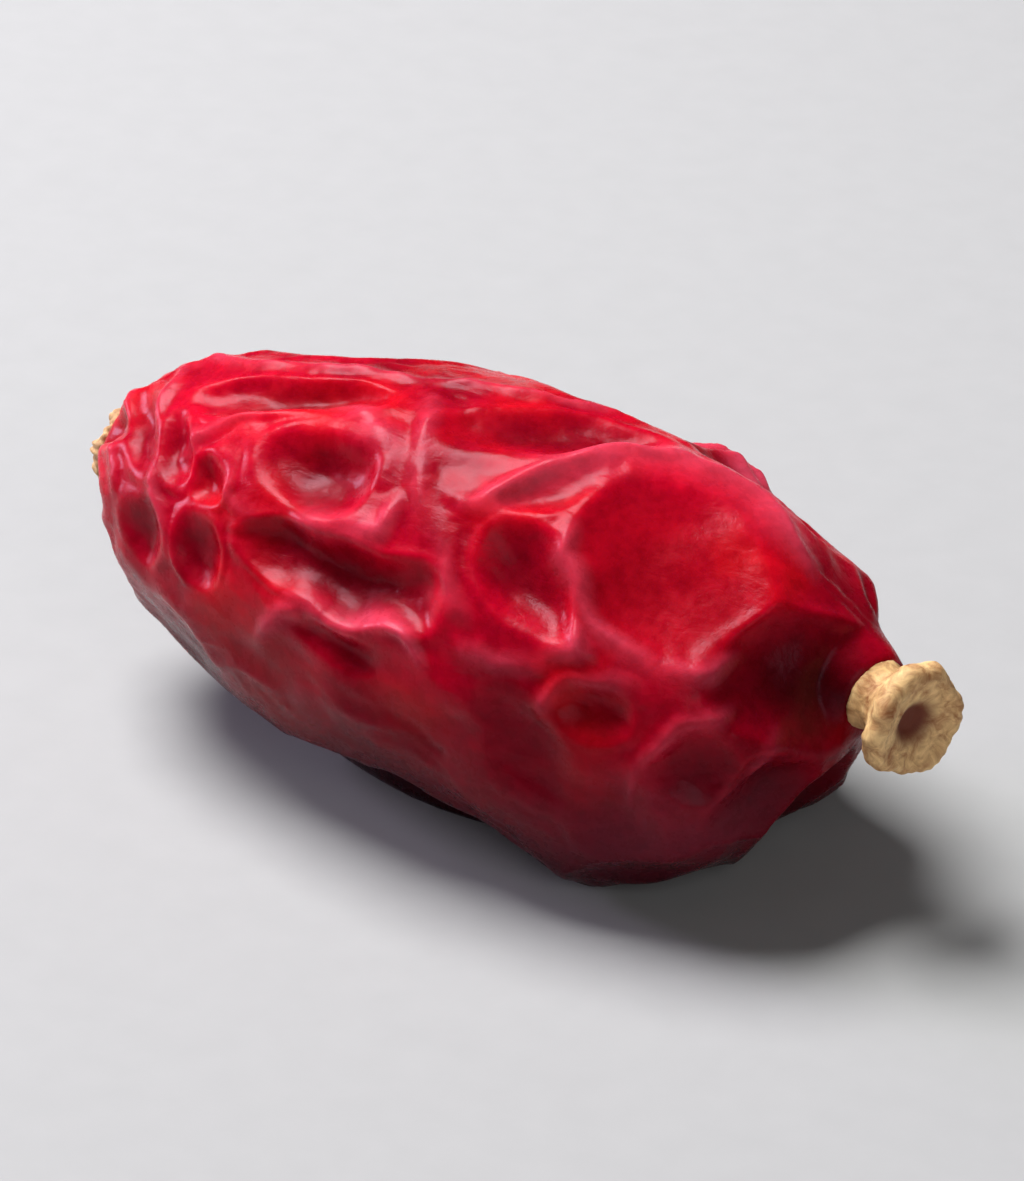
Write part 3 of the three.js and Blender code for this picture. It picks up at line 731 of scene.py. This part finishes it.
# Waves round a turned piece, one row each: waves in a turn, height and phase
BUTTON_LOBES = ((2, 0.06, 1), (3, 0.04, 0.4), (5, 0.025, 2), (9, 0.02, 0), (13, 0.012, 2))
BUTTON_CURL = ((2, 0.04, -0.6), (3, 0.02, 2), (5, 0.02, 1))
FIBRE_RELIEF = 0.006
ON_SEAT = 0.01  # what is lower than this stays flat on its seat


def make_stigma(move):
    profile = smooth_profile([
        (0, 0),
        (NECK_RADIUS * 1.06, 0),
        (NECK_RADIUS * 0.94, NECK_LENGTH * 0.4),
        (NECK_RADIUS * 1.02, NECK_LENGTH * 0.75),
        (BUTTON_RADIUS * 0.76, NECK_LENGTH),
        (BUTTON_RADIUS * 0.95, NECK_LENGTH + BUTTON_THICKNESS * 0.25),
        (BUTTON_RADIUS, NECK_LENGTH + BUTTON_THICKNESS * 0.55),
        (BUTTON_RADIUS * 0.96, NECK_LENGTH + BUTTON_THICKNESS * 0.85),
        (BUTTON_RADIUS * 0.84, STIGMA_TOP),
        (BUTTON_RADIUS * 0.66, STIGMA_TOP - PIT_DEPTH * 0.2),
        (PIT_RADIUS * 1.5, STIGMA_TOP - PIT_DEPTH * 0.45),
        (PIT_RADIUS, STIGMA_TOP - PIT_DEPTH * 0.75),
        (PIT_RADIUS * 0.6, STIGMA_TOP - PIT_DEPTH),
        (0, STIGMA_TOP - PIT_DEPTH),
    ], PROFILE_STEPS)
    profile[:, 0] = np.maximum(profile[:, 0], 0)

    def shape(radius, height, angles):
        outer = (radius / BUTTON_RADIUS) ** 2
        ribs = FIBRE_RELIEF * np.sin(29 * angles + 3 * np.sin(2 * angles) + 9 * height)
        warped = radius * (1 + waves_at(angles, BUTTON_LOBES) * outer + ribs)
        curl = waves_at(angles, BUTTON_CURL) * outer
        streaks = FIBRE_RELIEF * np.sin(31 * angles + 3 * np.sin(3 * angles)) * outer
        return ring(warped, height + curl + streaks if height > ON_SEAT else height, angles)

    points, faces = turned_solid(profile, shape, TURNED_SEGMENTS)
    off_axis = np.hypot(points[:, 0], points[:, 1])
    inside = 1 - smoothstep(off_axis, PIT_RADIUS * 0.8, PIT_RADIUS * 2)
    pit = inside * (points[:, 2] > NECK_LENGTH)
    wood = dry_wood("dried_style_wood", "#EEC68A", "#98582A", "#6A2A10", 0.17)
    mesh_piece("stigma_button", stand_on(STIGMA_PLACE, points, move), faces, "stigma",
               wood, {"pit": pit})


COLLAR_RADIUS = 0.4
COLLAR_HEIGHT = 0.17
COLLAR_HOLE = 0.2
COLLAR_FLOOR = 0.06
COLLAR_TEAR = 0.03
COLLAR_LOBES = ((2, 0.05, 0), (5, 0.03, 0))
COLLAR_TEARS = ((3, 1, 0), (5, 0.7, 1), (8, 0.5, 0))
COLLAR_RIBS = 0.03


def make_collar(move):
    profile = smooth_profile([
        (0, 0),
        (COLLAR_RADIUS * 0.92, 0),
        (COLLAR_RADIUS, COLLAR_HEIGHT * 0.35),
        (COLLAR_RADIUS * 0.92, COLLAR_HEIGHT * 0.75),
        (COLLAR_RADIUS * 0.8, COLLAR_HEIGHT),
        (COLLAR_HOLE * 1.2, COLLAR_HEIGHT * 0.92),
        (COLLAR_HOLE, COLLAR_HEIGHT * 0.6),
        (COLLAR_HOLE * 0.75, COLLAR_FLOOR),
        (0, COLLAR_FLOOR),
    ], PROFILE_STEPS)
    profile[:, 0] = np.maximum(profile[:, 0], 0)

    def shape(radius, height, angles):
        tears = waves_at(angles, COLLAR_TEARS)
        ends = 0.5 * np.sin(17 * angles + 2 * np.sin(4 * angles))
        torn = COLLAR_TEAR * (tears + ends) * smoothstep(height, COLLAR_FLOOR, COLLAR_HEIGHT)
        ribs = COLLAR_RIBS * np.sin(21 * angles + 6 * height)
        warped = radius * (1 + waves_at(angles, COLLAR_LOBES) + ribs)
        return ring(warped, height + torn, angles)

    points, faces = turned_solid(profile, shape, TURNED_SEGMENTS)
    off_axis = np.hypot(points[:, 0], points[:, 1])
    pit = (1 - smoothstep(off_axis, COLLAR_HOLE * 0.7, COLLAR_HOLE * 1.3)) * (points[:, 2] > 0)
    wood = dry_wood("torn_stalk_wood", "#D8B07C", "#8A5A30", "#4A1A10", 0.1)
    mesh_piece("stalk_collar", stand_on(STALK_PLACE, points, move), faces, "stalk_scar",
               wood, {"pit": pit})


# The studio

FLOOR_REACH = 400

# Each lamp's name, place, width, power in watts and colour; all look at AIM
LAMPS = (
    ("key", (-48, 8, 95), 62, 0.2, "#FFFFFF"),
    ("fill", (70, -60, 50), 70, 0.022, "#FFFFFF"),
    ("rim", (-110, -10, 36), 36, 0.07, "#E4D6F6"),
)
AIM = (0, 0, 2.5)
SKY_COLOUR, SKY_STRENGTH = "#E9EDF2", 0.065

# The camera: degrees round from the front and up, its lens, and how much it sees at the
# berry, from the top of the frame to the bottom
AZIMUTH, ELEVATION = 32, 30
LENS = 180
VIEW_HEIGHT = 12.6


def make_floor():
    # Matte painted board: pale and even
    material, tree, place = new_material("pale_painted_board")
    grain = add_node(tree, "ShaderNodeTexNoise",
                     {"Vector": place, "Scale": per_mm(0.5), "Detail": 4})
    tone = add_node(tree, "ShaderNodeMapRange",
                    {"Value": grain.outputs["Fac"], "To Min": 0.38, "To Max": 0.41})
    shader = add_node(tree, "ShaderNodeBsdfPrincipled",
                      {"Base Color": tone.outputs["Result"], "Roughness": 0.8})
    add_node(tree, "ShaderNodeOutputMaterial", {"Surface": shader.outputs["BSDF"]})
    half = FLOOR_REACH * MM
    mesh = bpy.data.meshes.new("floor")
    mesh.from_pydata([(-half, -half, 0), (half, -half, 0), (half, half, 0), (-half, half, 0)],
                     [], [(0, 1, 2, 3)])
    mesh.materials.append(material)
    floor = bpy.data.objects.new("floor", mesh)
    bpy.context.scene.collection.objects.link(floor)


def add_softbox(name, place, width, power, colour):
    light = bpy.data.lights.new(name, "AREA")
    light.shape = "DISK"
    light.color = linear(colour)[:3]
    light.size, light.energy = width * MM, power
    lamp = bpy.data.objects.new(name, light)
    lamp.location = Vector(place) * MM
    aim = Vector(AIM) * MM - lamp.location
    lamp.rotation_euler = aim.to_track_quat("-Z", "Y").to_euler()
    bpy.context.scene.collection.objects.link(lamp)


def make_light():
    world = bpy.data.worlds.new("studio")
    world.use_nodes = True
    background = world.node_tree.nodes["Background"]
    background.inputs["Color"].default_value = linear(SKY_COLOUR)
    background.inputs["Strength"].default_value = SKY_STRENGTH
    bpy.context.scene.world = world
    for lamp in LAMPS:
        add_softbox(*lamp)


def make_camera():
    azimuth, elevation = math.radians(AZIMUTH), math.radians(ELEVATION)
    camera = bpy.data.cameras.new("camera")
    camera.lens = LENS
    camera.clip_start = MM
    eye = bpy.data.objects.new("camera", camera)
    middle = (Vector(CAD_BOX[0]) + Vector(CAD_BOX[1])) / 2
    away = Vector((math.sin(azimuth) * math.cos(elevation),
                   -math.cos(azimuth) * math.cos(elevation), math.sin(elevation)))
    eye.location = middle + away * (VIEW_HEIGHT * MM * LENS / camera.sensor_width)
    eye.rotation_euler = (-away).to_track_quat("-Z", "Y").to_euler()
    bpy.context.scene.collection.objects.link(eye)
    bpy.context.scene.camera = eye


place_of_berry = make_berry()
make_stigma(place_of_berry)
make_collar(place_of_berry)
make_floor()
make_light()
make_camera()
bpy.context.scene.view_settings.view_transform = "Standard"
